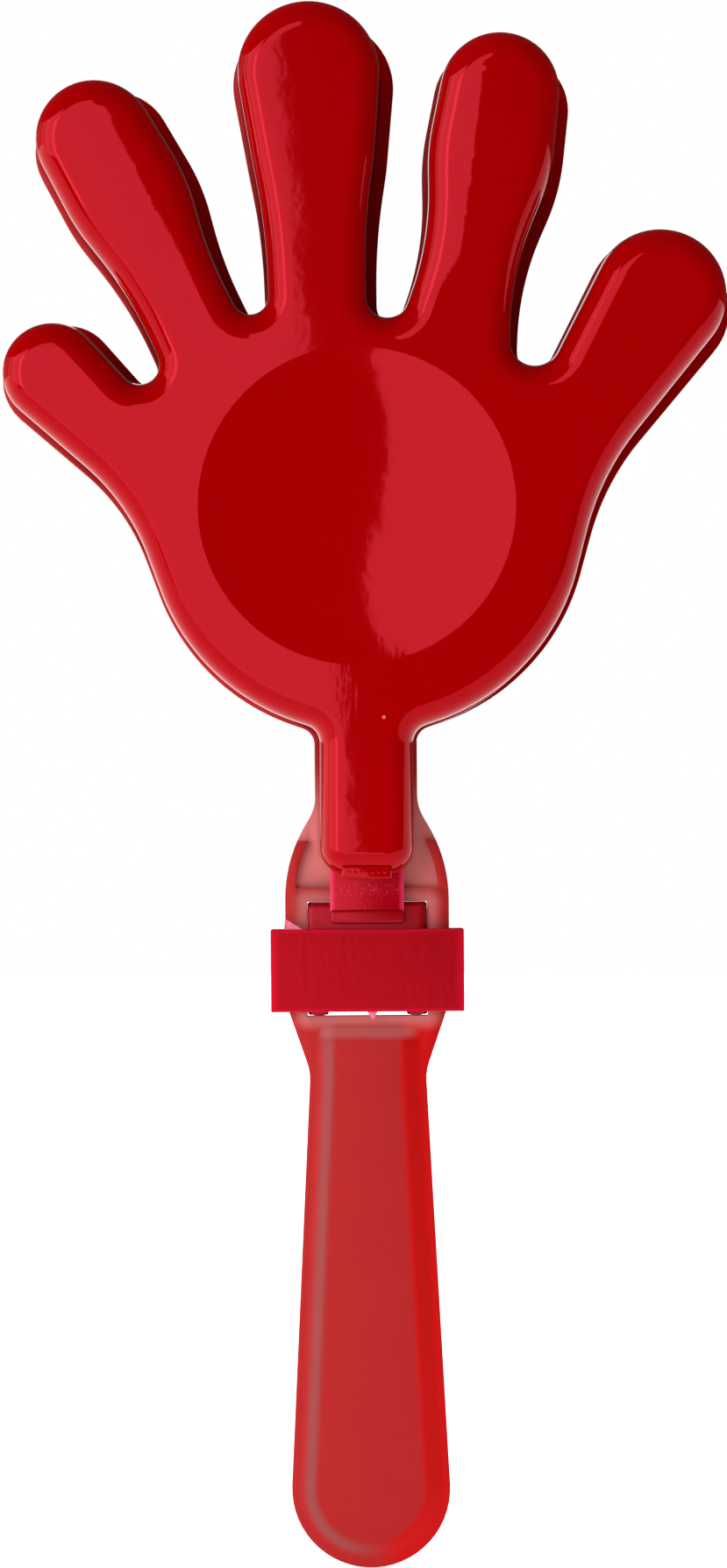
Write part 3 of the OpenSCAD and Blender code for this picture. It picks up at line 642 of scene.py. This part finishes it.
for side in ("front", "rear"):
    ear_r, edge_r = foot_rounds[side]
    bm = bmesh.new()
    low, notch = foot_top - foot_h, foot_top - foot_h + notch_h
    fork = [(-foot_w / 2, foot_top), (-foot_w / 2, low), (-notch_w / 2, low), (-notch_w / 2, notch),
            (notch_w / 2, notch), (notch_w / 2, low), (foot_w / 2, low), (foot_w / 2, foot_top)]
    corners = [bm.verts.new((x, foot_front, up)) for x, up in fork]
    edges = [bm.edges.new((a, b)) for a, b in zip(corners, corners[1:] + corners[:1])]
    bmesh.ops.contextual_create(bm, geom=edges)
    round_off(bm, [v for v in corners if abs(v.co.x) > notch_w / 2 + mm], ear_r, 6, "VERTICES")
    draw_out(bm, (0, foot_t, 0))
    round_corners(bm, edge_r, 4)
    add_bar(bm, foot_bar_size, foot_bar_at, foot_bar_edge_r)
    bmesh.ops.transform(bm, matrix=hinge_place[side], verts=bm.verts)
    foot = make_piece(side + "_anchor_foot", bm, foot_material)
    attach(foot, "handle")
    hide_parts(side + "_anchor")

# Collar: a plain rectangular band of polyethylene, pushed up over the grip until it closes on the feet.
# It is moulded roughly, so its walls show drag lines, and thin flash still hangs on its edges.
collar_low, collar_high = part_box("collar")
collar_face_wall = 1.8 * mm
collar_side_wall = 2.2 * mm
collar_edge_r = 0.22 * mm
bm = bmesh.new()
loops = []
for in_x, in_y in ((0, 0), (collar_side_wall, collar_face_wall)):
    x, y = collar_high.x - in_x, collar_high.y - in_y
    corners = [bm.verts.new((a * x, b * y, collar_low.z)) for a, b in ((-1, -1), (1, -1), (1, 1), (-1, 1))]
    loops += [bm.edges.new((a, b)) for a, b in zip(corners, corners[1:] + corners[:1])]
bmesh.ops.bridge_loops(bm, edges=loops)
draw_out(bm, (0, 0, collar_high.z - collar_low.z))
round_corners(bm, collar_edge_r, 3)

# Polyethylene straight from a plain mould: waxy and dull, with drag lines up its walls and brighter edges.
collar_red = linear("#8D0610")
collar_deep_red = linear("#84040C")
collar_edge = linear("#AE051F")
drag_size = 0.35 * mm
drag_stretch = (1, 1, 0.06)
drag_depth = 0.08 * mm
score_at, score_half = 11.3 * mm, 0.7 * mm
side_from, side_full = 15.2 * mm, 17.2 * mm
end_from, end_full = 0.9 * mm, 0.1 * mm
collar_material, tree, shader = new_material("polyethylene_dull_red")
coords = add_node(tree, "ShaderNodeTexCoord").outputs["Object"]
at_x, _, at_z = add_node(tree, "ShaderNodeSeparateXYZ", {"Vector": coords}).outputs
stretched = add_node(tree, "ShaderNodeMapping", {"Vector": coords, "Scale": drag_stretch})
drag = add_node(tree, "ShaderNodeTexNoise", {"Vector": stretched, "Scale": 1 / drag_size, "Detail": 4})
off_middle = add_node(tree, "ShaderNodeMath", {0: at_x}, operation="ABSOLUTE")
past_score = add_node(tree, "ShaderNodeMath", {0: off_middle, 1: score_at}, operation="SUBTRACT")
off_score = add_node(tree, "ShaderNodeMath", {0: past_score}, operation="ABSOLUTE")
from_low = add_node(tree, "ShaderNodeMath", {0: at_z, 1: collar_low.z}, operation="SUBTRACT")
from_high = add_node(tree, "ShaderNodeMath", {0: collar_high.z, 1: at_z}, operation="SUBTRACT")
from_ends = add_node(tree, "ShaderNodeMath", {0: from_low, 1: from_high}, operation="MINIMUM")
drag_light, score_dark, near_side, near_end = [
    add_node(tree, "ShaderNodeMapRange", {"Value": value, "From Min": none_at, "From Max": full_at,
                                          "To Max": most}, interpolation_type="SMOOTHSTEP")
    for value, none_at, full_at, most in ((drag, 0.3, 0.62, 1), (off_score, score_half, 0, 0.4),
                                          (off_middle, side_from, side_full, 0.9),
                                          (from_ends, end_from, end_full, 0.8))
]
drag_share = add_node(tree, "ShaderNodeMath", {0: drag_light, 1: score_dark}, operation="SUBTRACT")
dragged = add_node(tree, "ShaderNodeMix", {"Factor": drag_share, "A": collar_deep_red, "B": collar_red},
                   data_type="RGBA")
near_edge = add_node(tree, "ShaderNodeMath", {0: near_side, 1: near_end}, operation="MAXIMUM")
edged = add_node(tree, "ShaderNodeMix", {"Factor": near_edge, "A": dragged, "B": collar_edge},
                 data_type="RGBA")
scored = add_node(tree, "ShaderNodeBump", {"Height": drag, "Strength": 0.15, "Distance": drag_depth})
set_inputs(tree, shader, {"Base Color": edged, "Normal": scored, "Roughness": 0.5, "IOR": 1.51,
                          "Specular Tint": (1, 0.04, 0.08, 1)})
collar = make_piece("collar_band", bm, collar_material)
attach(collar, "handle")
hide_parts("collar")

# Flash: two thin scraps of the collar's plastic that the mould left on it,
# one on its upper left edge and the torn gate under it.
flash_t = 0.3 * mm
flash_in = 0.5 * mm
flash_corner_r = 0.3 * mm
top_mm, bottom_mm = collar_high.z / mm, collar_low.z / mm
scraps = [
    [(-14.8, top_mm - 0.3), (-10.9, top_mm - 0.3), (-14.6, top_mm + 1.9)],
    [(-0.2, bottom_mm + 0.3), (1.9, bottom_mm + 0.3), (0.9, bottom_mm - 1.7)],
]
bm = bmesh.new()
for scrap in scraps:
    corners = [bm.verts.new((x * mm, collar_low.y + flash_in, up * mm)) for x, up in scrap]
    bmesh.ops.contextual_create(bm, geom=corners)
    round_off(bm, corners, flash_corner_r, 2, "VERTICES")
draw_out(bm, (0, flash_t, 0))

# Polyethylene torn thin: light comes through it, so that it is pale pink in patches.
flash_pink = linear("#DB6F8B")
tear_size = 0.8 * mm
flash_material, tree, shader = new_material("polyethylene_thin_flash")
coords = add_node(tree, "ShaderNodeTexCoord").outputs["Object"]
tear = add_node(tree, "ShaderNodeTexNoise", {"Vector": coords, "Scale": 1 / tear_size, "Detail": 3})
torn = add_node(tree, "ShaderNodeMix", {"Factor": tear, "A": collar_edge, "B": flash_pink}, data_type="RGBA")
set_inputs(tree, shader, {"Base Color": torn, "Roughness": 0.45})
flash = make_piece("collar_flash", bm, flash_material)
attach(flash, "handle")

# Studio: a plain white paper sheet under the object, and a white room that is brightest at the upper left.
# The camera sees the room as plain white. Glossy faces mirror it dimly, so that the soft boxes stand out.
sheet_half, sheet_back, sheet_gap = 3, 2.6, 0.2 * mm
paper_size = 30 * mm
white = (1, 1, 1, 1)
bm = bmesh.new()
bmesh.ops.create_grid(bm, x_segments=2, y_segments=2, size=sheet_half)
bmesh.ops.translate(bm, verts=bm.verts, vec=(0, sheet_back, cad_box[0][2] - sheet_gap))

# Matt white paper with a faint mottle, which glows a little so that it stays white.
floor_material, tree, shader = new_material("white_studio_sheet")
coords = add_node(tree, "ShaderNodeTexCoord").outputs["Object"]
paper = add_node(tree, "ShaderNodeTexNoise", {"Vector": coords, "Scale": 1 / paper_size})
papered = add_node(tree, "ShaderNodeMix", {"Factor": paper, "A": linear("#F4F4F4"), "B": linear("#FAFAFA")},
                   data_type="RGBA")
set_inputs(tree, shader, {"Base Color": papered, "Roughness": 0.9, "Emission Color": white,
                          "Emission Strength": 0.9})
sheet = make_piece("studio_floor", bm, floor_material)

bright_side = (-0.8, 0, 0.6)
room_dim, room_bright, room_mirrored = 0.05, 1.25, 0.05
world = bpy.data.worlds.new("white_room")
world.use_nodes = True
bpy.context.scene.world = world
tree = world.node_tree
direction = add_node(tree, "ShaderNodeTexCoord").outputs["Generated"]
facing = add_node(tree, "ShaderNodeVectorMath", {0: direction, 1: bright_side}, operation="DOT_PRODUCT")
room_light = add_node(tree, "ShaderNodeMapRange", {"Value": facing, "From Min": -1, "To Min": room_dim,
                                                   "To Max": room_bright})
room = tree.nodes["Background"]
set_inputs(tree, room, {"Color": white, "Strength": room_light})
mirrored = add_node(tree, "ShaderNodeBackground", {"Color": white, "Strength": room_mirrored})
seen = add_node(tree, "ShaderNodeBackground", {"Color": white})
path = add_node(tree, "ShaderNodeLightPath")
dimmed = add_node(tree, "ShaderNodeMixShader", {0: path.outputs["Is Glossy Ray"], 1: room, 2: mirrored})
chosen = add_node(tree, "ShaderNodeMixShader", {0: path.outputs["Is Camera Ray"], 1: dimmed, 2: seen})
set_inputs(tree, tree.nodes["World Output"], {"Surface": chosen})


# Soft boxes: a tall one in front that is only mirrored, whose straight edge shows on the hand's flat face,
# a row of three at the left that get weaker towards the back, one low at the left, and a sweep behind.
def soft_box(name, centre, towards, wide, high, radiance, roll=0):
    light = bpy.data.lights.new(name, "AREA")
    light.shape = "RECTANGLE"
    light.size, light.size_y = wide, high
    light.energy = radiance * pi * wide * high
    box = bpy.data.objects.new(name, light)
    turn = (Vector(towards) - Vector(centre)).to_track_quat("-Z", "Y").to_matrix().to_4x4()
    box.matrix_world = Matrix.Translation(centre) @ turn @ Matrix.Rotation(roll, 4, "Z")
    bpy.context.scene.collection.objects.link(box)
    return box


lit_middle = (0, 0, 0.1)
mirror_x, mirror_up = -0.4897, -0.35
mirror_box = soft_box("front_left_box", (mirror_x, -1.3, mirror_up), (mirror_x, 0, mirror_up), 1, 1.7, 3.6,
                      radians(5))
mirror_box.visible_diffuse = False
soft_box("left_key", (-1.21, -1.12, 0.2), lit_middle, 1.2, 1.1, 4)
soft_box("left_fade", (-1.61, -0.34, 0.2), lit_middle, 0.72, 1.1, 1.7)
soft_box("left_far", (-1.61, 0.43, 0.2), lit_middle, 0.85, 1.1, 0.35)
soft_box("low_left_box", (-1.3, -0.3, -0.9), lit_middle, 1.2, 1.1, 1.6)
soft_box("back_sweep", (-1.3, 2.2, 0.1), (-1.3, 0, 0.1), 2.5, 1.2, 0.7)

# Camera: about a metre off, a little lower than the middle of the object and very slightly tilted.
# The focal length and the height of the image are in the photograph's pixels.
eye = Vector((-0.5 * mm, -995.4 * mm, 76.5 * mm))
aim = Vector((-0.475 * mm, 0, 91.63 * mm))
tilt = radians(-0.41)
sensor_high = 36
focal_px, image_high_px = 6341, 1789
camera = bpy.data.cameras.new("camera")
camera.sensor_fit = "VERTICAL"
camera.sensor_height = sensor_high
camera.lens = sensor_high * focal_px / image_high_px
viewer = bpy.data.objects.new("camera", camera)
look = (aim - eye).to_track_quat("-Z", "Y").to_matrix().to_4x4()
viewer.matrix_world = Matrix.Translation(eye) @ look @ Matrix.Rotation(tilt, 4, "Z")
bpy.context.scene.collection.objects.link(viewer)
bpy.context.scene.camera = viewer
bpy.context.scene.view_settings.view_transform = "Standard"
